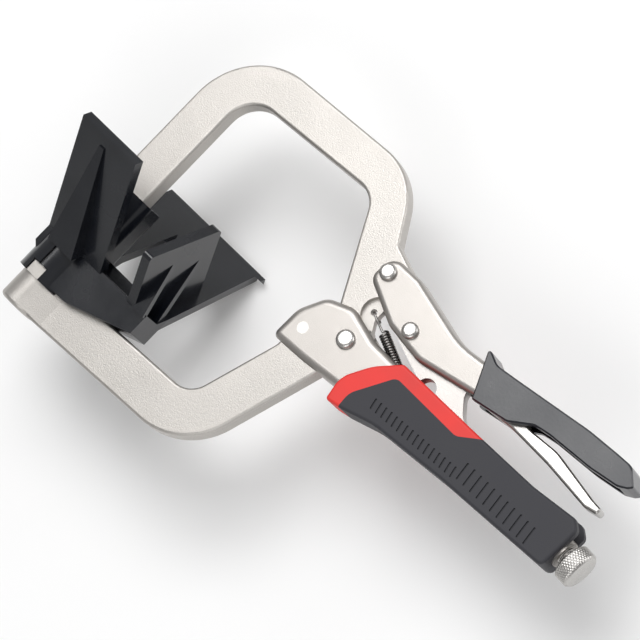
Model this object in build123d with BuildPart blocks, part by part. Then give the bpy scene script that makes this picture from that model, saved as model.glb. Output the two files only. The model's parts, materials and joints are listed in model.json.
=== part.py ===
from build123d import *
import os
from math import cos, hypot, radians, sin, sqrt

# Locking clamp pliers with a pair of right-angle corner pads, in millimetres, locked shut.
# The part lies on its side: the arms swing in the XY plane and Z is across the sheet-metal channels.
# Lengths in the XY plane are measured from the jaw pivot, which stands at PIVOT_X, PIVOT_Y, MID_Z.

# ---- where the jaw pivot stands in the part's frame -------------------------------------------
PIVOT_X = -1.547
PIVOT_Y = 9.446
MID_Z = 53.1

# ---- driving dimensions ------------------------------------------------------------------------
ARM_THICK = 9.0  # forged arms, across the tool
ARM_WIDTH = 19.0  # movable arm
FIXED_ARM_WIDTH = 21.4
ARM_ROUND = 1.3  # rounded edges of the forgings
SIDE_GAP = 0.2  # each side of an arm between two channel walls
SHEET = 2.2  # stamped channel sheet
PIN_GAP = 0.05  # running clearance round a pivot, on the radius
HUB_GAP = 0.6  # between the movable jaw's hub and the fixed jaw

THROAT = 124.0  # jaw pivot to the centre line of the movable arm's outer leg
BOSS_X = -126.0  # centre line of the pad boss on the fixed arm
BOSS_R = 9.5
BOSS_ROUND = 2.0
BOSS_BLEND = 16.5  # from the boss's axis to where the arm's flats begin
UPPER_REACH = 66.5  # jaw pivot up to the movable arm's outer edge, above the outer leg
LOWER_REACH = 88.8  # jaw pivot down to the fixed arm's outer edge, below the boss
ARM_RISE = 3.2  # degrees that the two long arms rise towards the handle

HANDLE_LEAN = 3.0  # degrees that the handle drops below X, going away from the jaws
SCREW_AXIS = 5.55  # adjusting screw above the jaw pivot, in the handle's own frame
NOSE_END = 131.5  # jaw pivot to the end of the handle's metal nose, along the handle
NOSE_R = 6.4
SCREW_R = 4.0
KNOB_R = 8.6
KNOB_LENGTH = 7.5
KNOB_GAP = 2.6  # thread showing between nose and knob
GRIP_WALL = 2.3  # moulded grip over the handle
SLEEVE_ROUND = 0.7
GROOVE_WIDTH = 0.9
GROOVE_DEPTH = 0.7
SLEEVE_WALL = 1.4  # dipped sleeve over the lever

LEVER_PIVOT = (-7.3, 32.4)
LINK_PIVOT = (18.3, 21.0)
TAIL_PIVOT = (85.7, 1.0)
RELEASE_PIVOT = (70.0, 27.6)
SMALL_RIVET = (-18.1, -8.9)
SPRING_HOLE = (-1.5, 16.3)
SPRING_ANCHOR = (52.0, -5.3)

JAW_PIN_R = 3.5
LEVER_PIN_R = 3.1
LINK_PIN_R = 3.0
SMALL_PIN_R = 2.65
RELEASE_PIN_R = 1.5
HEAD_OVER = 0.75  # how far a rivet head stands out past its shank
HEAD_HEIGHT = 2.4

PAD_PLATE = 4.5  # thickness of the pads' wings
PAD_FLAT = 8.6  # half the width of the outer pad's flat base
PAD_VERTEX = -61.6  # where the outer faces of the outer pad's wings would meet
PAD_TOP = -8.5  # height of the wings' free outer corners
PAD_LEFT = -138.0
NEAR_WING_RIGHT = -103.5
FAR_WING_RIGHT = -73.3
WING_TAPER = 4.2  # the long wing is that much shorter at its free edge
CLIP_R = 12.6
KEY_WIDTH = 7.6  # of the two keys on the boss that stop the outer pad turning
KEY_HEIGHT = 1.2
KEY_LENGTH = 5.6
NOTCH_GAP = 0.4  # round a key in the clip's notch
CLIP_BOTTOM = -73.4
CLIP_TOP = -47.0
FIN_THICK = 4.8
FIN_LEDGE = 6.9  # from the fin to the end of the long wing
FIN_TOP = -3.0
NEST_GAP = 0.4  # between the two pads when shut
INNER_TOP = -17.8
INNER_HALF = 14.0  # half the inner pad's length along X

# ---- derived -----------------------------------------------------------------------------------
HALF_ARM = ARM_THICK / 2
WALL_IN = HALF_ARM + SIDE_GAP
WALL_OUT = WALL_IN + SHEET
GRIP_OUT = WALL_OUT + GRIP_WALL
SLEEVE_OUT = WALL_OUT + SLEEVE_WALL
HALF_LINK = HALF_ARM - 1.3
HALF_RELEASE = WALL_IN - 0.4
KNOB_START = NOSE_END + KNOB_GAP
KNOB_END = KNOB_START + KNOB_LENGTH
RISE = sin(radians(ARM_RISE)) / cos(radians(ARM_RISE))
FIN_X = FAR_WING_RIGHT - FIN_LEDGE


def level(height):
    """A plane parallel to XY, its origin on the jaw pivot, height above the middle of the tool."""
    return Plane(origin=(PIVOT_X, PIVOT_Y, MID_Z + height))


def along(height):
    """The same, turned so that its x runs along the handle."""
    lean = radians(HANDLE_LEAN)
    return Plane(
        origin=(PIVOT_X, PIVOT_Y, MID_Z + height),
        x_dir=(cos(lean), -sin(lean), 0),
        z_dir=(0, 0, 1),
    )


def across(distance):
    """A plane square to the handle, its origin on the screw axis, distance from the jaw pivot."""
    centre = along(0).from_local_coords((distance, SCREW_AXIS, 0))
    return Plane(origin=centre, x_dir=(0, 0, 1), z_dir=along(0).x_dir)


def section(x):
    """A plane square to X for the pads: its x runs up along Y and its y runs along Z."""
    return Plane(origin=(PIVOT_X + x, PIVOT_Y, MID_Z), x_dir=(0, 1, 0), z_dir=(1, 0, 0))


def upright(y):
    """A plane square to Y for bosses and sockets: its x runs along X."""
    return Plane(origin=(PIVOT_X, PIVOT_Y + y, MID_Z), x_dir=(1, 0, 0), z_dir=(0, 1, 0))


def polygon(points, radius=None):
    """A closed outline in the current sketch, with its corners rounded where a radius is given."""
    with BuildLine() as outline:
        if radius is None:
            Polyline(*points, close=True)
        else:
            FilletPolyline(*points, radius=radius, close=True)
    make_face(outline.edges())


def round_at(centre, radius, mode=Mode.ADD):
    """A disc in the current sketch."""
    with Locations(centre):
        Circle(radius, mode=mode)


def arm_edges(piece):
    """The edges of an arm's two flat faces."""
    return piece.edges().filter_by(lambda edge: abs(abs(edge.center().Z - MID_Z) - HALF_ARM) < 0.01)


def write(piece, name):
    """Label a finished piece and write it to its own file."""
    piece.label = name
    export_step(piece, "parts/" + name + ".step")


os.makedirs("parts", exist_ok=True)

# ---- movable jaw: one forging from the pivot hub round the throat to the inner pad --------------
leg_in = -THROAT + ARM_WIDTH / 2
leg_out = -THROAT - ARM_WIDTH / 2
leg_end = INNER_TOP - 17.0
top_out = UPPER_REACH + RISE * (THROAT - 39.0)
top_in = top_out - ARM_WIDTH - 0.2
hub_r = 8.5

movable_outline = [
    (leg_out, leg_end),
    (leg_out, UPPER_REACH - RISE * 9.0),
    (-31.5, top_out - 0.6),
    (-13.6, 43.6),
    (1.2, 38.6),
    (1.2, 14.0),
    (7.6, 4.0),
    (-6.5, -5.6),
    (-39.2, top_in),
    (leg_in, UPPER_REACH - ARM_WIDTH + RISE * 4.0),
    (leg_in, leg_end),
]
movable_radii = [2.0, 35.0, 30.0, 4.0, 6.0, 4.0, 2.0, 2.0, 12.0, 15.0, 2.0]

with BuildPart() as movable_jaw:
    with BuildSketch(level(-HALF_ARM)):
        polygon(movable_outline, movable_radii)
    extrude(amount=ARM_THICK)
    fillet(arm_edges(movable_jaw), ARM_ROUND)
    with BuildSketch(level(-HALF_ARM)):
        round_at((0, 0), hub_r)
    extrude(amount=ARM_THICK)
    with BuildSketch(level(-HALF_ARM)):
        round_at((0, 0), JAW_PIN_R + PIN_GAP)
        round_at(LEVER_PIVOT, LEVER_PIN_R)
        round_at(SPRING_HOLE, 1.5)
        round_at((-THROAT, INNER_TOP - 8.0), 2.0)
    extrude(amount=ARM_THICK, mode=Mode.SUBTRACT)
    for face_height in (HALF_ARM - 2.4, -HALF_ARM):
        with BuildSketch(level(face_height)):
            round_at((1.0, 16.6), 7.4)
        extrude(amount=2.4, mode=Mode.SUBTRACT)
write(movable_jaw.part, "movable_jaw")

# ---- fixed jaw: the lower forging, riveted between the handle's cheeks --------------------------
low_out = -LOWER_REACH
low_in = low_out + FIXED_ARM_WIDTH

fixed_outline = [
    (BOSS_X, low_out),
    (-21.0, low_out + RISE * (-21.0 - BOSS_X)),
    (0.6, -15.6),
    (-4.0, -10.4),
    (-10.4, -4.0),
    (-17.5, 1.5),
    (-24.2, -3.0),
    (-22.5, -20.9),
    (-36.1, low_in + RISE * (-36.1 - BOSS_X)),
    (BOSS_X, low_in),
]
fixed_radii = [2.0, 34.0, 2.0, 3.0, 3.0, 2.0, 3.0, 8.0, 12.0, 2.0]

with BuildPart() as boss:
    with BuildSketch(upright(low_out)):
        round_at((BOSS_X, 0), BOSS_R)
    extrude(amount=-low_out + CLIP_TOP - 2.0)
    fillet(boss.edges().filter_by(GeomType.CIRCLE).group_by(Axis.Y)[0], BOSS_ROUND)

with BuildPart() as fixed_jaw:
    with BuildSketch(level(-HALF_ARM)):
        polygon(fixed_outline, fixed_radii)
    extrude(amount=ARM_THICK)
    fillet(arm_edges(fixed_jaw), ARM_ROUND)
    with BuildSketch(level(-HALF_ARM)):
        round_at((0, 0), hub_r + HUB_GAP)
    extrude(amount=ARM_THICK, mode=Mode.SUBTRACT)
    add(boss.part)
    with BuildSketch(upright(low_out + BOSS_ROUND)):
        polygon(
            [
                (BOSS_X + 0.3 * BOSS_R, 0.95 * BOSS_R),
                (BOSS_X + BOSS_BLEND, HALF_ARM),
                (BOSS_X + BOSS_BLEND, -HALF_ARM),
                (BOSS_X + 0.3 * BOSS_R, -0.95 * BOSS_R),
            ]
        )
    extrude(amount=CLIP_BOTTOM - SIDE_GAP - low_out - BOSS_ROUND)
    with BuildSketch(level(-HALF_ARM)):
        round_at(SMALL_RIVET, SMALL_PIN_R)
    extrude(amount=ARM_THICK, mode=Mode.SUBTRACT)
    with BuildSketch(Plane(upright(CLIP_BOTTOM).origin, x_dir=(1, 0, 0), z_dir=(0, 1, 0))):
        with Locations((BOSS_X, -BOSS_R), (BOSS_X, BOSS_R)):
            Rectangle(KEY_WIDTH, 2 * KEY_HEIGHT)
    extrude(amount=KEY_LENGTH)
write(fixed_jaw.part, "fixed_jaw")

# ---- fixed handle: a pressed channel, two cheeks at the jaws and a round nose for the screw -----
cheek_outline = [
    (-25.9, -21.3),
    (-7.9, -19.6),
    (40.0, -12.2),
    (NOSE_END - 14.0, -3.4),
    (NOSE_END - 6.0, SCREW_AXIS - NOSE_R + 0.4),
    (NOSE_END - 6.0, SCREW_AXIS + NOSE_R - 0.4),
    (NOSE_END - 14.0, 13.4),
    (72.0, 12.3),
    (24.0, 8.8),
    (9.0, 8.4),
    (-8.0, 11.9),
    (-20.6, 6.4),
    (-26.4, -6.0),
]
cheek_radii = [3.0, 30.0, 30.0, 6.0, 1.0, 1.0, 6.0, 30.0, 20.0, 8.0, 9.0, 9.0, 12.0]
hollow_outline = [
    (-40.0, -40.0),
    (2.6, -40.0),
    (2.6, -15.6),
    (40.0, -12.2 + SHEET),
    (NOSE_END - 15.0, -3.4 + SHEET),
    (NOSE_END - 12.0, SCREW_AXIS),
    (NOSE_END - 12.0, 40.0),
    (-40.0, 40.0),
]

with BuildPart() as handle_blank:
    with BuildSketch(along(-WALL_OUT)):
        polygon(cheek_outline, cheek_radii)
    extrude(amount=2 * WALL_OUT)
    spine_edges = handle_blank.edges().filter_by(GeomType.LINE).filter_by(
        lambda edge: abs(abs(edge.center().Z - MID_Z) - WALL_OUT) < 0.01
        and edge.center().Y < PIVOT_Y - 5.0
        and edge.center().X > PIVOT_X
        and edge.length > 20.0
    )
    fillet(spine_edges, 3.4)

with BuildPart() as fixed_handle:
    add(handle_blank.part)
    with BuildSketch(along(-WALL_IN)):
        polygon(hollow_outline)
    extrude(amount=2 * WALL_IN, mode=Mode.SUBTRACT)
    with BuildSketch(across(NOSE_END - 15.0)):
        Circle(NOSE_R)
    extrude(amount=15.0)
    with BuildSketch(across(NOSE_END - 16.0)):
        Circle(SCREW_R + PIN_GAP)
    extrude(amount=17.0, mode=Mode.SUBTRACT)
    with BuildSketch(level(-WALL_OUT)):
        round_at((0, 0), JAW_PIN_R)
        round_at(SMALL_RIVET, SMALL_PIN_R)
        round_at(SPRING_ANCHOR, 1.2)
    extrude(amount=2 * WALL_OUT, mode=Mode.SUBTRACT)
write(fixed_handle.part, "fixed_handle")

# ---- lever: a pressed channel, open towards the handle ------------------------------------------
lever_outline = [
    (-12.6, 26.0),
    (9.0, 16.4),
    (29.0, 13.9),
    (58.5, 19.8),
    (75.0, 22.8),
    (86.0, 29.6),
    (116.0, 32.2),
    (131.5, 35.2),
    (131.5, 41.2),
    (105.0, 40.0),
    (67.0, 34.6),
    (38.0, 31.6),
    (5.0, 39.3),
    (-12.0, 39.3),
]
lever_radii = [5.0, 10.0, 14.0, 20.0, 8.0, 12.0, 20.0, 2.0, 2.5, 60.0, 40.0, 40.0, 9.0, 6.9]
lever_hollow = [
    (-40.0, 0.0),
    (129.0, 0.0),
    (129.0, 41.2 - SHEET),
    (105.0, 40.0 - SHEET),
    (67.0, 34.6 - SHEET),
    (38.0, 31.6 - SHEET),
    (5.0, 39.3 - SHEET),
    (5.0, 60.0),
    (-40.0, 60.0),
]
lever_hollow_radii = [0.5, 0.5, 1.0, 60.0, 40.0, 40.0, 1.0, 0.5, 0.5]


def on_lever_back(edge):
    """Whether an edge of the blank bends round the lever's back, which the palm presses."""
    place = level(0).to_local_coords(edge.center())
    at_face = abs(abs(place.Z) - WALL_OUT) < 0.01
    past_ear = place.X > -4.0
    near_back = place.Y > 33.5 or (place.Y > 31.0 and place.X < 60.0)
    return at_face and past_ear and near_back


with BuildPart() as lever_blank:
    with BuildSketch(level(-WALL_OUT)):
        polygon(lever_outline, lever_radii)
    extrude(amount=2 * WALL_OUT)
    fillet(lever_blank.edges().filter_by(on_lever_back), 2.6)

with BuildPart() as lever:
    add(lever_blank.part)
    with BuildSketch(level(-WALL_IN)):
        polygon(lever_hollow, lever_hollow_radii)
    extrude(amount=2 * WALL_IN, mode=Mode.SUBTRACT)
    with BuildSketch(level(-WALL_OUT)):
        round_at(LEVER_PIVOT, LEVER_PIN_R + PIN_GAP)
        round_at(LINK_PIVOT, LINK_PIN_R)
        round_at(RELEASE_PIVOT, RELEASE_PIN_R)
    extrude(amount=2 * WALL_OUT, mode=Mode.SUBTRACT)
write(lever.part, "lever")

# ---- toggle link: a thick plate between lever and screw ------------------------------------------
link_outline = [
    (12.6, 22.5),
    (14.4, 15.2),
    (33.6, 9.0),
    (46.0, 8.6),
    (83.0, -2.6),
    (90.0, 0.4),
    (86.2, 5.4),
    (60.6, 9.2),
    (53.6, 17.0),
    (53.0, 25.6),
    (20.0, 28.0),
]
link_radii = [5.5, 5.0, 1.5, 3.0, 3.2, 3.2, 3.2, 8.0, 6.0, 3.0, 6.4]

with BuildPart() as toggle_link:
    with BuildSketch(level(-HALF_LINK)):
        polygon(link_outline, link_radii)
        round_at(LINK_PIVOT, LINK_PIN_R + PIN_GAP, Mode.SUBTRACT)
        round_at((39.6, 8.2), 4.6, Mode.SUBTRACT)
    extrude(amount=2 * HALF_LINK)
write(toggle_link.part, "toggle_link")

# ---- release lever: a small channel with a spoon-shaped tail ------------------------------------
release_outline = [
    (59.0, 20.6),
    (64.0, 19.4),
    (78.0, 20.6),
    (100.0, 19.9),
    (124.0, 17.6),
    (130.6, 19.0),
    (130.4, 21.8),
    (125.0, 22.2),
    (100.0, 26.4),
    (84.0, 25.4),
    (74.5, 31.0),
    (66.0, 31.0),
]
release_radii = [1.0, 6.0, 30.0, 30.0, 4.0, 1.2, 1.2, 12.0, 20.0, 10.0, 3.0, 3.0]

with BuildPart() as release_lever:
    with BuildSketch(level(-HALF_RELEASE)):
        polygon(release_outline, release_radii)
        round_at(RELEASE_PIVOT, RELEASE_PIN_R + PIN_GAP, Mode.SUBTRACT)
    extrude(amount=2 * HALF_RELEASE)
    under_edges = release_lever.edges().filter_by(
        lambda edge: abs(abs(edge.center().Z - MID_Z) - HALF_RELEASE) < 0.01
        and edge.center().Y < PIVOT_Y + 21.0
        and edge.center().X > PIVOT_X + 80.0
        and edge.length > 12.0
    )
    fillet(under_edges, 1.2)
write(release_lever.part, "release_lever")


def rivet(centre, pin_r, span, head_height, name):
    """A rivet across the tool: its shank spans the sheet, with a domed head at each end."""
    with BuildPart() as piece:
        with BuildSketch(level(-span)):
            round_at(centre, pin_r)
        extrude(amount=2 * span)
        head_r = pin_r + HEAD_OVER
        for foot, height in ((span, head_height), (-span, -head_height)):
            with BuildSketch(level(foot)):
                round_at(centre, head_r)
            extrude(amount=height)
        dome_edges = piece.edges().filter_by(GeomType.CIRCLE).group_by(Axis.Z)
        fillet(dome_edges[0] + dome_edges[-1], min(0.7 * head_height, 0.8 * head_r))
    write(piece.part, name)


rivet((0, 0), JAW_PIN_R, WALL_OUT, HEAD_HEIGHT, "jaw_pivot_rivet")
rivet(LEVER_PIVOT, LEVER_PIN_R, WALL_OUT, HEAD_HEIGHT, "lever_rivet")
rivet(LINK_PIVOT, LINK_PIN_R, WALL_OUT, HEAD_HEIGHT, "link_rivet")

# ---- plain pins -----------------------------------------------------------------------------------
with BuildPart() as fixed_jaw_rivet:
    with BuildSketch(level(-WALL_OUT)):
        round_at(SMALL_RIVET, SMALL_PIN_R)
    extrude(amount=2 * WALL_OUT)
write(fixed_jaw_rivet.part, "fixed_jaw_rivet")

with BuildPart() as spring_anchor:
    with BuildSketch(level(-WALL_OUT)):
        round_at(SPRING_ANCHOR, 1.2)
    extrude(amount=2 * WALL_OUT)
write(spring_anchor.part, "spring_anchor")

with BuildPart() as release_pin:
    with BuildSketch(level(-WALL_OUT)):
        round_at(RELEASE_PIVOT, RELEASE_PIN_R)
    extrude(amount=2 * WALL_OUT)
write(release_pin.part, "release_pin")

# ---- adjusting screw and its knurled knob ---------------------------------------------------------
SCREW_TIP = TAIL_PIVOT[0] + 6.6
with BuildPart() as adjusting_screw:
    with BuildSketch(across(SCREW_TIP)):
        Circle(SCREW_R)
    extrude(amount=KNOB_START + 5.0 - SCREW_TIP)
    chamfer(adjusting_screw.edges().group_by(Axis.X)[0], 1.0)
write(adjusting_screw.part, "adjusting_screw")

with BuildPart() as knob:
    with BuildSketch(across(KNOB_START)):
        Circle(KNOB_R)
    extrude(amount=KNOB_LENGTH)
    chamfer(knob.edges().filter_by(GeomType.CIRCLE), 1.0)
    with BuildSketch(across(KNOB_START)):
        Circle(SCREW_R + PIN_GAP)
    extrude(amount=5.0 + PIN_GAP, mode=Mode.SUBTRACT)
write(knob.part, "knob")

# ---- return spring: one closed solid of the coil's outer size ------------------------------------
spring_run = (SPRING_ANCHOR[0] - SPRING_HOLE[0], SPRING_ANCHOR[1] - SPRING_HOLE[1])
spring_length = hypot(*spring_run)
spring_plane = Plane(
    origin=level(0).from_local_coords((*SPRING_HOLE, 0)),
    x_dir=(0, 0, 1),
    z_dir=(spring_run[0] / spring_length, spring_run[1] / spring_length, 0),
)
SPRING_R = 2.5
HOOK = 9.5
with BuildPart() as return_spring:
    with BuildSketch(spring_plane.offset(HOOK)):
        Circle(SPRING_R)
    extrude(amount=spring_length - HOOK - 6.0)
    with BuildSketch(spring_plane.offset(3.4)):
        Circle(0.6)
    extrude(amount=spring_length - 3.4 - 2.0)
write(return_spring.part, "return_spring")

# ---- outer pad: a right-angle V on a split clip round the fixed arm's boss -----------------------
SLANT = sqrt(0.5)
wing_rise = PAD_PLATE * SLANT
inner_vertex = PAD_VERTEX + 2 * wing_rise
base_y = PAD_VERTEX + PAD_FLAT
base_top = base_y + 1.6
fin_back = FIN_X - FIN_THICK
fin_half = (FIN_TOP - PAD_VERTEX) / 2


def wing(vertex, foot, top):
    """The outline of one wing of a V in a section plane, on the side of positive Z."""
    return [
        (vertex + foot, foot),
        (top, top - vertex),
        (top + wing_rise, top - vertex - wing_rise),
        (vertex + 2 * wing_rise + 0.1, 0.1),
    ]


def flipped(points):
    """The same outline on the side of negative Z."""
    return [(y, -z) for y, z in points]


def rib_plane(side, run):
    """A plane square to a wing's slope, run up its outer face; its y points out of the face."""
    return Plane(
        origin=(PIVOT_X + BOSS_X + 3.0, PIVOT_Y + PAD_VERTEX + run * SLANT, MID_Z + side * run * SLANT),
        x_dir=(side, 0, 0),
        z_dir=(0, -SLANT, -side * SLANT),
    )


with BuildPart() as outer_pad:
    with BuildSketch(section(PAD_LEFT)):
        polygon(wing(PAD_VERTEX, PAD_FLAT, PAD_TOP))
    extrude(amount=NEAR_WING_RIGHT - PAD_LEFT)
    with BuildSketch(section(PAD_LEFT)):
        polygon(flipped(wing(PAD_VERTEX, PAD_FLAT, PAD_TOP)))
    extrude(amount=FAR_WING_RIGHT - PAD_LEFT)
    wing_end = PAD_TOP - PAD_VERTEX + 1.0
    with BuildSketch(upright(PAD_VERTEX)):
        polygon(
            [
                (FAR_WING_RIGHT, PAD_FLAT),
                (FAR_WING_RIGHT + 1.0, PAD_FLAT),
                (FAR_WING_RIGHT + 1.0, wing_end),
                (FAR_WING_RIGHT - WING_TAPER, wing_end),
            ]
        )
    extrude(amount=wing_end, mode=Mode.SUBTRACT)
    with BuildSketch(level(-PAD_FLAT)):
        polygon(
            [
                (PAD_LEFT, PAD_VERTEX),
                (BOSS_X, CLIP_BOTTOM + 1.0),
                (BOSS_X + CLIP_R + 7.0, CLIP_BOTTOM + 1.4),
                (FAR_WING_RIGHT, PAD_VERTEX),
                (FAR_WING_RIGHT, base_top),
                (PAD_LEFT, base_top),
            ]
        )
    extrude(amount=2 * PAD_FLAT)
    with BuildSketch(upright(CLIP_BOTTOM)):
        round_at((BOSS_X, 0), CLIP_R)
    extrude(amount=CLIP_TOP - CLIP_BOTTOM)
    with BuildSketch(section(fin_back)):
        polygon(
            [
                (base_y, PAD_FLAT),
                (PAD_VERTEX + fin_half, fin_half),
                (FIN_TOP, 0),
                (PAD_VERTEX + fin_half, -fin_half),
                (base_y, -PAD_FLAT),
            ],
            [0.5, 2.0, 2.0, 2.0, 0.5],
        )
    extrude(amount=FIN_THICK)
    for rib_z, rib_top in ((9.0, FIN_TOP - 23.0), (-5.5, FIN_TOP - 13.5)):
        with BuildSketch(level(rib_z - 1.5)):
            polygon([(FIN_X - 0.5, rib_top), (FIN_X - 0.5, base_y), (FAR_WING_RIGHT, base_y)])
        extrude(amount=3.0)
    for side in (1, -1):
        with BuildSketch(rib_plane(side, 13.0)):
            with Locations((0, 3.0)):
                Rectangle(16.0, 8.0)
        with BuildSketch(rib_plane(side, 69.0)):
            with Locations((0, -0.6)):
                Rectangle(3.0, 2.4)
        loft()
    window_low = base_y + 3.0
    window_high = FIN_TOP - 21.0
    with BuildSketch(level(-PAD_FLAT - 0.01)):
        polygon(
            [
                (BOSS_X + CLIP_R, window_low),
                (fin_back, window_low),
                (fin_back, window_high),
                (BOSS_X + CLIP_R, window_high),
            ],
            3.0,
        )
    extrude(amount=-60.0, mode=Mode.SUBTRACT)
    with BuildSketch(upright(CLIP_BOTTOM)):
        round_at((BOSS_X, 0), BOSS_R + PIN_GAP)
    extrude(amount=CLIP_TOP - CLIP_BOTTOM, mode=Mode.SUBTRACT)
    with BuildSketch(level(-WALL_IN)):
        polygon(
            [
                (BOSS_X, low_out),
                (-60.0, low_out),
                (-60.0, low_in + RISE * (-60.0 - BOSS_X) + 0.3),
                (BOSS_X, low_in + 0.3),
            ]
        )
    extrude(amount=2 * WALL_IN, mode=Mode.SUBTRACT)
    with BuildSketch(level(-CLIP_R)):
        with Locations((BOSS_X, CLIP_BOTTOM + KEY_LENGTH / 2)):
            Rectangle(KEY_WIDTH + 2 * NOTCH_GAP, KEY_LENGTH + 2 * NOTCH_GAP)
        with Locations((BOSS_X, CLIP_BOTTOM + 11.0)):
            Rectangle(1.0, 10.0)
    extrude(amount=2 * CLIP_R, mode=Mode.SUBTRACT)
write(outer_pad.part, "outer_pad")

# ---- inner pad: a smaller V nested in the outer one, with a socket for the movable arm -----------
nest_vertex = inner_vertex + NEST_GAP / SLANT
nose = CLIP_TOP + 0.8
socket_half = HALF_ARM + 4.5
socket_low = max(nose + 0.6, nest_vertex + socket_half)  # where the block clears both clip and wings

with BuildPart() as inner_pad:
    for outline in (
        wing(nest_vertex, nose - nest_vertex, INNER_TOP - wing_rise),
        flipped(wing(nest_vertex, nose - nest_vertex, INNER_TOP - wing_rise)),
    ):
        with BuildSketch(section(-THROAT - INNER_HALF)):
            polygon(outline)
        extrude(amount=2 * INNER_HALF)
    with BuildSketch(section(-THROAT - INNER_HALF)):
        with Locations((nest_vertex, 0)):
            Rectangle(2 * (nose - nest_vertex), 60.0)
    extrude(amount=2 * INNER_HALF, mode=Mode.SUBTRACT)
    with BuildSketch(upright(nose)):
        with Locations((-THROAT, 0)):
            RectangleRounded(2 * INNER_HALF + 2.0, 2 * (nose - nest_vertex) - 0.02, 4.0)
        with Locations((-THROAT, 0)):
            Rectangle(2 * INNER_HALF, 2 * (nose - nest_vertex) - 0.02)
    extrude(amount=socket_low - nose)
    with BuildSketch(upright(socket_low)):
        with Locations((-THROAT, 0)):
            RectangleRounded(2 * INNER_HALF + 2.0, 2 * socket_half, 5.0)
    extrude(amount=INNER_TOP - socket_low)
    with BuildSketch(upright(leg_end)):
        with Locations((-THROAT, 0)):
            Rectangle(ARM_WIDTH, ARM_THICK)
    extrude(amount=60.0, mode=Mode.SUBTRACT)
    with BuildSketch(level(-socket_half)):
        round_at((-THROAT, INNER_TOP - 8.0), 2.0)
    extrude(amount=2 * socket_half, mode=Mode.SUBTRACT)
write(inner_pad.part, "inner_pad")

with BuildPart() as inner_pad_pin:
    with BuildSketch(level(-socket_half)):
        round_at((-THROAT, INNER_TOP - 8.0), 2.0)
    extrude(amount=2 * socket_half)
write(inner_pad_pin.part, "inner_pad_pin")

# ---- grip on the handle: a dark moulding with a band of another colour round its front ------------
grip_outline = [
    (13.6, -22.9),
    (22.0, -20.8),
    (37.0, -15.6),
    (74.0, -10.4),
    (120.0, -5.7),
    (NOSE_END - 1.0, -4.6),
    (NOSE_END - 1.0, 15.6),
    (NOSE_END - 5.5, 18.6),
    (104.0, 15.1),
    (72.0, 13.0),
    (26.6, 10.6),
    (17.6, 0.6),
    (11.0, -12.0),
]
grip_radii = [1.5, 12.0, 40.0, 60.0, 40.0, 3.0, 3.0, 3.0, 30.0, 40.0, 3.0, 24.0, 12.0]
band_inner = [
    (22.6, -40.0),
    (19.4, -14.0),
    (29.2, 4.6),
    (65.5, 6.0),
    (75.0, 13.4),
    (75.0, 40.0),
    (-40.0, 40.0),
    (-40.0, -40.0),
]
band_radii = [0.5, 9.0, 4.0, 5.0, 1.0, 0.5, 0.5, 0.5]

with BuildPart() as grip_blank:
    with BuildSketch(along(-GRIP_OUT)):
        polygon(grip_outline, grip_radii)
    extrude(amount=2 * GRIP_OUT)
    long_edges = grip_blank.edges().filter_by(
        lambda edge: abs(abs(edge.center().Z - MID_Z) - GRIP_OUT) < 0.01
    )
    fillet(long_edges, 1.4)
    add(handle_blank.part, mode=Mode.SUBTRACT)
    with BuildSketch(along(-WALL_IN)):
        with Locations((70.0, 20.0)):
            Rectangle(160.0, 30.0)
    extrude(amount=2 * WALL_IN, mode=Mode.SUBTRACT)
    with BuildSketch(across(NOSE_END - 16.0)):
        Circle(NOSE_R)
    extrude(amount=20.0, mode=Mode.SUBTRACT)

with BuildPart() as grip_band:
    add(grip_blank.part)
    with BuildSketch(along(-GRIP_OUT - 1.0)):
        polygon(band_inner, band_radii)
    extrude(amount=2 * GRIP_OUT + 2.0, mode=Mode.INTERSECT)
write(grip_band.part, "grip_band")

def grooves(count, first, last, length, slant):
    """A row of narrow grooves in the current sketch, evenly spaced along the handle."""
    for index in range(count):
        share = index / (count - 1)
        u = first[0] + share * (last[0] - first[0])
        v = first[1] + share * (last[1] - first[1])
        with Locations((u, v)):
            SlotOverall(length, GROOVE_WIDTH, rotation=slant)


with BuildPart() as handle_grip:
    add(grip_blank.part)
    with BuildSketch(along(-GRIP_OUT - 1.0)):
        polygon(band_inner, band_radii)
    extrude(amount=2 * GRIP_OUT + 2.0, mode=Mode.SUBTRACT)
    for height in (GRIP_OUT - GROOVE_DEPTH, -GRIP_OUT):
        with BuildSketch(along(height)):
            grooves(16, (30.4, -9.6), (76.0, -4.6), 5.0, 106.0)
            grooves(11, (78.6, -1.6), (118.0, 0.4), 8.2, 100.0)
        extrude(amount=GROOVE_DEPTH, mode=Mode.SUBTRACT)
write(handle_grip.part, "handle_grip")

# ---- dipped sleeve on the lever ----------------------------------------------------------------------
sleeve_outline = [
    (49.3, 37.4),
    (51.2, 37.6),
    (57.0, 35.2),
    (67.0, 36.4),
    (105.0, 41.5),
    (121.0, 42.4),
    (128.5, 42.6),
    (135.2, 36.6),
    (133.4, 34.6),
    (129.5, 32.5),
    (116.0, 30.4),
    (94.0, 29.0),
    (86.6, 27.7),
    (76.6, 21.0),
    (58.9, 18.0),
]
sleeve_radii = [0.8, 1.4, 6.0, 20.0, 60.0, 40.0, 5.0, 1.0, 1.5, 6.0, 40.0, 10.0, 5.0, 6.0, 0.8]

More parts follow.
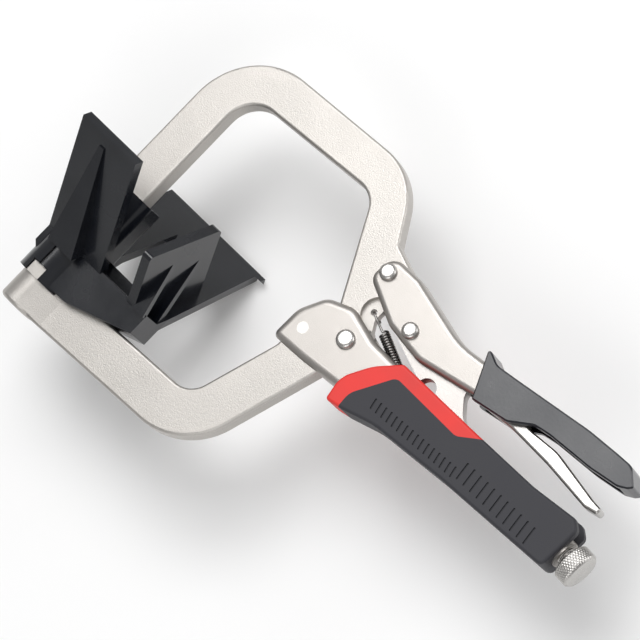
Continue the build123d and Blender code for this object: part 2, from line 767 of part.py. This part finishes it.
with BuildPart() as lever_sleeve:
    with BuildSketch(level(-SLEEVE_OUT)):
        polygon(sleeve_outline, sleeve_radii)
    extrude(amount=2 * SLEEVE_OUT)
    outer_edges = lever_sleeve.edges().filter_by(
        lambda edge: abs(abs(edge.center().Z - MID_Z) - SLEEVE_OUT) < 0.01
    )
    chamfer(outer_edges, SLEEVE_ROUND)
    add(lever_blank.part, mode=Mode.SUBTRACT)
    with BuildSketch(level(-WALL_IN)):
        with Locations((90.0, 14.0)):
            Rectangle(80.0, 42.0)
    extrude(amount=2 * WALL_IN, mode=Mode.SUBTRACT)
write(lever_sleeve.part, "lever_sleeve")
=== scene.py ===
import json
from math import atan2, ceil, cos, pi, radians, sin

import bmesh
import bpy
from mathutils import Matrix, Vector


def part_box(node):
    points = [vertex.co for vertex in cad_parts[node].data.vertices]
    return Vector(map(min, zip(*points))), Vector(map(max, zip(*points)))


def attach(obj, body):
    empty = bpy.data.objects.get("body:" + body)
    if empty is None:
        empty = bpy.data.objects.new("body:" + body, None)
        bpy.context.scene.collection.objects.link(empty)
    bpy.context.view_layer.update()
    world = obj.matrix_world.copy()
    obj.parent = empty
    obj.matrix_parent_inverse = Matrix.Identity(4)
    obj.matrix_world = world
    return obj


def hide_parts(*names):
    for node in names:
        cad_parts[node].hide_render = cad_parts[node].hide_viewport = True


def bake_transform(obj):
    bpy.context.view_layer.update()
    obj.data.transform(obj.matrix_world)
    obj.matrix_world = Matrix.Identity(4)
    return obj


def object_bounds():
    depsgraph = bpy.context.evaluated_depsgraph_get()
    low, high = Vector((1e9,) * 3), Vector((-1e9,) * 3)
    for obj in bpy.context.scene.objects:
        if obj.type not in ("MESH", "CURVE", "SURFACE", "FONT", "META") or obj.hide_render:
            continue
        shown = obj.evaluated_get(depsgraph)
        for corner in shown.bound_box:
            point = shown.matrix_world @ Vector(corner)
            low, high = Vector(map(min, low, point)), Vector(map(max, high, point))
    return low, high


# Locking clamp pliers: looks for the CAD frame, in metres.
# X runs from the jaws to the knob, Y from the fixed jaw to the movable one and Z is up.

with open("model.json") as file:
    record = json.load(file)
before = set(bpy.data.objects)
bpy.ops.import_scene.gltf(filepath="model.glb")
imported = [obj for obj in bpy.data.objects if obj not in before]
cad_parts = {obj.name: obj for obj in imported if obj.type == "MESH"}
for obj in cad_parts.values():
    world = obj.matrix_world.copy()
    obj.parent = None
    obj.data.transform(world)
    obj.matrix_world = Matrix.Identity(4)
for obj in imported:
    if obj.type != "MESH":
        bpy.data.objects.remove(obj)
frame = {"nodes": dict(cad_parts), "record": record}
cad_low, cad_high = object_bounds()
nodes = frame["nodes"]
joints = {joint["name"]: joint for joint in frame["record"]["behaviour"]["joints"]}
MM = 0.001


def middle(node):
    """The middle of a CAD node's box."""
    low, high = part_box(node)
    return (Vector(low) + Vector(high)) / 2


# ---- places read from the frame -------------------------------------------------------------------
PIVOT = Vector(joints["jaw_swing"]["pos_m"])
SCREW_AXIS = Vector(joints["screw_travel"]["axis"]).normalized()
KNOB_PLACE = Vector(joints["knob_turn"]["pos_m"])
ANCHOR = middle("spring_anchor")


def square_to(direction):
    """Two directions square to the given one and to each other; the second is nearly +Z."""
    side = Vector((0, 0, 1)).cross(direction).normalized()
    return side, direction.cross(side)


def axes_at(place, along_x, along_y, along_z):
    """The matrix that turns a shape's own axes to three directions and moves it to a place."""
    return Matrix.Translation(place) @ Matrix((along_x, along_y, along_z)).transposed().to_4x4()


# ---- materials ------------------------------------------------------------------------------------
class Wire:
    """A socket of a node tree that can be calculated with."""

    def __init__(self, tree, socket):
        self.tree = tree
        self.socket = socket

    def through(self, kind, inputs, output=0, **settings):
        """Adds a node of any kind, sets it up, joins its inputs and returns one of its outputs."""
        node = self.tree.nodes.new(kind)
        for name, value in settings.items():
            setattr(node, name, value)
        for key, value in inputs.items():
            if isinstance(value, Wire):
                self.tree.links.new(value.socket, node.inputs[key])
            else:
                node.inputs[key].default_value = value
        return Wire(self.tree, node.outputs[output])

    def _math(self, operation, other):
        return self.through("ShaderNodeMath", {0: self, 1: other}, operation=operation)

    def __add__(self, other):
        return self._math("ADD", other)

    def __mul__(self, other):
        return self._math("MULTIPLY", other)

    __radd__ = __add__
    __rmul__ = __mul__

    def noise(self, scale, detail=2.0):
        """Smooth noise of the position, that many lumps to a metre."""
        return self.through("ShaderNodeTexNoise", {"Vector": self, "Scale": scale, "Detail": detail})

    def spread(self, low, high, start=0.0, end=1.0):
        """The value moved from the range low to high into the range start to end."""
        inputs = {"Value": self, "From Min": low, "From Max": high, "To Min": start, "To Max": end}
        return self.through("ShaderNodeMapRange", inputs)

    def tint(self, first, second):
        """A colour between two others, by this value."""
        return self.through(
            "ShaderNodeMix",
            {"Factor": self, "A": (*first, 1), "B": (*second, 1)},
            output="Result",
            data_type="RGBA",
        )


def start_material(name):
    """A new material: its shader, and the position on the object as a Wire."""
    material = bpy.data.materials.new(name)
    material.use_nodes = True
    tree = material.node_tree
    shader = tree.nodes["Principled BSDF"]
    place = Wire(tree, None).through("ShaderNodeTexCoord", {}, output="Object")
    return material, shader, place


def join(shader, name, wire):
    """Feeds a shader input from a Wire."""
    wire.tree.links.new(wire.socket, shader.inputs[name])


def bumped(height, strength, distance):
    """A bump normal from a height."""
    inputs = {"Height": height, "Strength": strength, "Distance": distance}
    return height.through("ShaderNodeBump", inputs, output="Normal")


def plated(name, colour, roughness, grain, grain_scale=2600.0):
    """Nickel plate with a blasted or satin grain."""
    material, shader, place = start_material(name)
    shader.inputs["Metallic"].default_value = 1.0
    fine = place.noise(grain_scale, 3.0)
    broad = place.noise(55.0, 2.0)
    dull = [0.86 * part for part in colour]
    join(shader, "Base Color", (0.7 * fine + 0.3 * broad).spread(0.34, 0.62).tint(dull, colour))
    join(shader, "Roughness", fine.spread(0.3, 0.7, roughness - 0.07, roughness + 0.09))
    join(shader, "Normal", bumped(fine, grain, 0.0004))
    return material


def moulded(name, colour, roughness, coat=0.0, grain=0.15, grain_scale=1800.0):
    """Moulded, dipped or coated non-metal with a fine skin texture."""
    material, shader, place = start_material(name)
    shader.inputs["Coat Weight"].default_value = coat
    shader.inputs["Coat Roughness"].default_value = 0.08
    fine = place.noise(grain_scale, 2.0)
    broad = place.noise(40.0, 3.0)
    worn = [1.18 * part + 0.002 for part in colour]
    join(shader, "Base Color", broad.spread(0.35, 0.65).tint(colour, worn))
    join(shader, "Roughness", broad.spread(0.3, 0.7, roughness - 0.05, roughness + 0.06))
    join(shader, "Normal", bumped(fine, grain, 0.0003))
    return material


FINISHES = {
    "nickel_forging": plated("bead-blasted nickel", (0.57, 0.545, 0.515), 0.44, 0.3, 2300.0),
    "nickel_sheet": plated("satin nickel", (0.49, 0.465, 0.44), 0.40, 0.14),
    "nickel_bright": plated("bright nickel", (0.56, 0.545, 0.525), 0.3, 0.05),
    "dark_link": plated("link plate", (0.52, 0.50, 0.48), 0.38, 0.14),
    "spring_wire": plated("spring wire", (0.30, 0.29, 0.28), 0.25, 0.04),
    "black_casting": moulded("gloss black coat", (0.0035, 0.0045, 0.0075), 0.22, 0.25, 0.06, 900.0),
    "red_moulding": moulded("red moulding", (0.66, 0.030, 0.024), 0.55),
    "grip_moulding": moulded("charcoal moulding", (0.026, 0.026, 0.032), 0.62),
    "black_dip": moulded("dipped vinyl", (0.007, 0.008, 0.013), 0.30, 0.3, 0.12, 700.0),
}
WORN_EDGE = 0.35 * MM
WORN_ANGLE = radians(35)  # edges sharper than this are worn round
WORN_PIECES = ("outer_pad", "inner_pad", "lever_sleeve", "lever", "fixed_handle")
for part in frame["record"]["subparts"]:
    shown = nodes[part["node"]]
    shown.data.materials.clear()
    shown.data.materials.append(FINISHES[part["material_slot"]])
    if part["node"] in WORN_PIECES:
        bevel = shown.modifiers.new("worn edges", "BEVEL")
        bevel.width = WORN_EDGE
        bevel.segments = 2
        bevel.limit_method = "ANGLE"
        bevel.angle_limit = WORN_ANGLE
        bevel.use_clamp_overlap = True


# ---- mesh helpers ---------------------------------------------------------------------------------
def set_down(mesh, name):
    """Turns a bmesh into an object of the scene, at the origin."""
    data = bpy.data.meshes.new(name)
    mesh.to_mesh(data)
    mesh.free()
    piece = bpy.data.objects.new(name, data)
    bpy.context.scene.collection.objects.link(piece)
    return piece


def finished(mesh, name, slot_name, smooth_angle):
    """Sets down a piece with its finish, shaded smooth up to an angle in degrees."""
    bmesh.ops.recalc_face_normals(mesh, faces=mesh.faces)
    for face in mesh.faces:
        face.smooth = True
    for edge in mesh.edges:
        if len(edge.link_faces) == 2:
            edge.smooth = edge.calc_face_angle() < radians(smooth_angle)
    piece = set_down(mesh, name)
    piece.data.materials.append(FINISHES[slot_name])
    return piece


def close_ends(mesh):
    """Fills every open rim of a mesh with one face."""
    rims = [edge for edge in mesh.edges if edge.is_boundary]
    bmesh.ops.holes_fill(mesh, edges=rims, sides=0)


def wire_mesh(route, radius, sides=10):
    """A round wire: a circle pushed along a route of points, and kept square to it."""
    mesh = bmesh.new()
    verts = bmesh.ops.create_circle(mesh, segments=sides, radius=radius)["verts"]
    rim = mesh.edges[:]
    side = (route[1] - route[0]).orthogonal().normalized()
    place = Matrix()
    for index, point in enumerate(route):
        before = route[max(index - 1, 0)]
        after = route[min(index + 1, len(route) - 1)]
        ahead = (after - before).normalized()
        side = (side - ahead * side.dot(ahead)).normalized()
        if index:
            pushed = bmesh.ops.extrude_edge_only(mesh, edges=rim)["geom"]
            verts = [item for item in pushed if isinstance(item, bmesh.types.BMVert)]
            rim = [item for item in pushed if isinstance(item, bmesh.types.BMEdge) and item.is_boundary]
        last, place = place, axes_at(point, side.cross(ahead), side, ahead)
        bmesh.ops.transform(mesh, matrix=place @ last.inverted(), verts=verts)
    close_ends(mesh)
    return mesh


def turned_mesh(start, axis, profile, around, wave):
    """A turned piece: profile holds (distance along the axis, radius); wave adds to the radius."""
    mesh = bmesh.new()
    side, other = square_to(axis)
    row = mesh.verts.layers.int.new("row")
    chain = [mesh.verts.new(start + axis * distance + side * radius) for distance, radius in profile]
    for index, vert in enumerate(chain):
        vert[row] = index
    edges = [mesh.edges.new(pair) for pair in zip(chain, chain[1:])]
    bmesh.ops.spin(
        mesh, geom=chain + edges, cent=start, axis=axis, angle=2 * pi, steps=around, use_merge=True
    )
    for vert in mesh.verts:
        distance, radius = profile[vert[row]]
        centre = start + axis * distance
        outward = (vert.co - centre).normalized()
        turn = atan2(outward.dot(other), outward.dot(side))
        vert.co = centre + outward * (radius + wave(distance, turn))
    mesh.verts.layers.int.remove(row)
    close_ends(mesh)
    return mesh


# ---- return spring: a close-wound coil between a hole in the movable jaw and an anchor pin --------
SPRING_OFFSET = Vector((-1.5, 16.3, 0.0)) * MM
WIRE_R = 0.5 * MM
COIL_R = 1.95 * MM
COIL_PITCH = 1.22 * MM
COIL_START = 9.5 * MM
COIL_TAIL = 6.0 * MM
WEB_HALF = 2.1 * MM
PIN_LOOP_R = 1.8 * MM
COIL_STEPS = 16  # points of the wire's route to a turn
PIN_LOOP_STEPS = 12
PIN_LOOP_STEP = 28  # degrees


def return_spring():
    """The hooked coil; its hook goes through the jaw's web and its loop round the anchor pin."""
    hole = PIVOT + SPRING_OFFSET
    run = ANCHOR - hole
    length = run.length
    ahead = run.normalized()
    side, up = square_to(ahead)
    over = WEB_HALF + WIRE_R + 0.1 * MM

    def at(distance, height, sideways=0.0):
        return hole + ahead * distance + up * height + side * sideways

    route = [at(3.6 * MM, -over), at(1.6 * MM, -over), at(0.5 * MM, -over + 0.3 * MM)]
    route += [at(0, -WEB_HALF), at(0, 0), at(0, WEB_HALF), at(0.5 * MM, over - 0.3 * MM)]
    route += [at(1.4 * MM, over), at(3.2 * MM, over), at(5.5 * MM, over - 0.4 * MM)]
    route += [at(7.6 * MM, COIL_R * 0.9), at(8.8 * MM, COIL_R)]
    turns = ceil((length - COIL_START - COIL_TAIL) / COIL_PITCH)
    for step in range(turns * COIL_STEPS + 1):
        turn = 2 * pi * step / COIL_STEPS
        distance = COIL_START + COIL_PITCH * step / COIL_STEPS
        route.append(at(distance, COIL_R * cos(turn), COIL_R * sin(turn)))
    for step in range(PIN_LOOP_STEPS):
        turn = radians(180 - PIN_LOOP_STEP * step)
        loop = PIN_LOOP_R * Vector((cos(turn), sin(turn)))
        route.append(at(length + loop.x, 0.0, loop.y))
    piece = finished(wire_mesh(route, WIRE_R), "coil_spring", "spring_wire", 80.0)
    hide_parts("return_spring")
    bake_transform(piece)


# ---- adjusting screw with a real thread, and its diamond-knurled knob --------------------------------
def along_screw(node):
    """Where a round node starts and ends along the screw's axis from the knob's place, and its radius."""
    low, high = (Vector(corner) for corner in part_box(node))
    radius = (high.z - low.z) / 2
    half = (high.x - low.x - 2 * radius * abs(SCREW_AXIS.y)) / (2 * abs(SCREW_AXIS.x))
    centre = (middle(node) - KNOB_PLACE).dot(SCREW_AXIS)
    return centre - half, centre + half, radius


THREAD_DEPTH = 0.45 * MM
THREAD_PITCH = 1.25 * MM
THREAD_ROWS = 8  # rings of vertices to a turn of the thread
THREAD_AROUND = 48
SCREW_LEAD = 0.4 * MM  # chamfer at each end of the screw
SCREW_END = 0.55  # of the screw's radius, its flat end
KNURLS = 44
KNURL_AROUND = 8  # vertices to a knurl
KNURL_ROWS = 26
KNURL_RISE = 2.05 * MM  # along the knob for one repeat of the pattern
KNURL_DEPTH = 0.28 * MM
KNOB_BEVEL = 1.0 * MM
KNOB_BORE = 0.47  # of the knob's radius
KNOB_BORE_DEPTH = 4.6 * MM


def adjusting_screw():
    """The screw, with a ridge that winds round its core."""
    start, end, radius = along_screw("adjusting_screw")
    rows = ceil((end - start) / THREAD_PITCH) * THREAD_ROWS
    cut = end - start - 2 * SCREW_LEAD
    profile = [(start, radius * SCREW_END)]
    for row in range(rows + 1):
        profile.append((start + SCREW_LEAD + cut * row / rows, radius - THREAD_DEPTH))
    profile.append((end, radius * SCREW_END))

    def ridge(distance, turn):
        if distance <= start or distance >= end:
            return 0.0
        phase = (distance / THREAD_PITCH - turn / (2 * pi)) % 1.0
        return THREAD_DEPTH * (1.0 - abs(2.0 * phase - 1.0))

    mesh = turned_mesh(KNOB_PLACE, SCREW_AXIS, profile, THREAD_AROUND, ridge)
    piece = finished(mesh, "threaded_screw", "nickel_bright", 60.0)
    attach(piece, "screw_side")
    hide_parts("adjusting_screw")


def knob():
    """The knob, bored for the screw, with crossed knurls round its rim."""
    start, end, radius = along_screw("knob")
    bore = KNOB_BORE * radius
    deep = start + KNOB_BORE_DEPTH
    profile = [(deep, bore), (start + 0.02 * MM, bore), (start, bore + 0.1 * MM)]
    profile += [(start, radius - KNOB_BEVEL), (start + 0.02 * MM, radius - KNOB_BEVEL + 0.05 * MM)]
    rim_start = start + 0.7 * KNOB_BEVEL
    rim_end = end - 1.3 * KNOB_BEVEL
    for row in range(KNURL_ROWS + 1):
        profile.append((rim_start + (rim_end - rim_start) * row / KNURL_ROWS, radius))
    profile += [(end - 0.15 * MM, radius - KNOB_BEVEL), (end - 0.03 * MM, radius - 1.25 * KNOB_BEVEL)]
    profile += [(end, radius - 1.7 * KNOB_BEVEL), (end, 0.3 * radius)]

    def knurl(distance, turn):
        if distance < rim_start or distance > rim_end:
            return 0.0
        twist = (distance - rim_start) / KNURL_RISE
        one = abs(sin(KNURLS * turn / 2 + twist * pi))
        other = abs(sin(KNURLS * turn / 2 - twist * pi))
        return -KNURL_DEPTH * (1.0 - min(one, other))

    mesh = turned_mesh(KNOB_PLACE, SCREW_AXIS, profile, KNURLS * KNURL_AROUND, knurl)
    piece = finished(mesh, "knurled_knob", "nickel_bright", 50.0)
    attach(piece, "knob_side")
    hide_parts("knob")


return_spring()
adjusting_screw()
knob()


# ---- floor, light and camera ---------------------------------------------------------------------------
FLOOR_HALF = 6.0
FLOOR_GAP = 0.5 * MM  # below the tool
CAMERA_PLACE = Vector((535.1, -5.4, 1212.0)) * MM  # from the main pivot
CAMERA_TARGET = Vector((-17.9, -1.6, 0.0)) * MM
CAMERA_RIGHT = Vector((0.751, 0.659, 0.0))  # what lies to the right in the view
CAMERA_LENS = 178.8
WORLD_LIGHT = 0.38


def paper():
    """Matt white paper."""
    material, shader, place = start_material("white paper")
    join(shader, "Base Color", place.noise(3.0).spread(0.3, 0.7).tint((0.93, 0.93, 0.93), (0.95, 0.95, 0.95)))
    shader.inputs["Roughness"].default_value = 0.9
    return material


def floor():
    """A sheet of paper under the tool."""
    mesh = bmesh.new()
    bmesh.ops.create_grid(mesh, x_segments=1, y_segments=1, size=FLOOR_HALF)
    sheet = set_down(mesh, "floor")
    sheet.location.z = cad_low[2] - FLOOR_GAP
    sheet.data.materials.append(paper())


def lamp(name, place, size, power):
    """A square soft light aimed at the middle of the tool."""
    data = bpy.data.lights.new(name, "AREA")
    data.size = size
    data.energy = power
    light = bpy.data.objects.new(name, data)
    light.location = place
    light.rotation_euler = (-Vector(place)).to_track_quat("-Z", "Y").to_euler()
    bpy.context.scene.collection.objects.link(light)


def camera():
    """A long lens above the tool, tilted to see the jaws' ends."""
    ahead = (CAMERA_TARGET - CAMERA_PLACE).normalized()
    right = (CAMERA_RIGHT - ahead * CAMERA_RIGHT.dot(ahead)).normalized()
    data = bpy.data.cameras.new("camera")
    data.sensor_width = 36.0
    data.lens = CAMERA_LENS
    seen = bpy.data.objects.new("camera", data)
    seen.matrix_world = axes_at(PIVOT + CAMERA_PLACE, right, right.cross(ahead), -ahead)
    bpy.context.scene.collection.objects.link(seen)
    bpy.context.scene.camera = seen


floor()
lamp("key", (-0.5, 0.6, 1.6), 1.2, 21.0)
lamp("fill", (0.8, -0.9, 1.1), 0.9, 6.0)
lamp("edge", (0.9, 1.2, 0.5), 0.7, 5.0)
world = bpy.data.worlds.new("studio")
world.use_nodes = True
world.node_tree.nodes["Background"].inputs["Color"].default_value = (1.0, 1.0, 1.0, 1.0)
world.node_tree.nodes["Background"].inputs["Strength"].default_value = WORLD_LIGHT
bpy.context.scene.world = world
bpy.context.scene.view_settings.view_transform = "Standard"
camera()
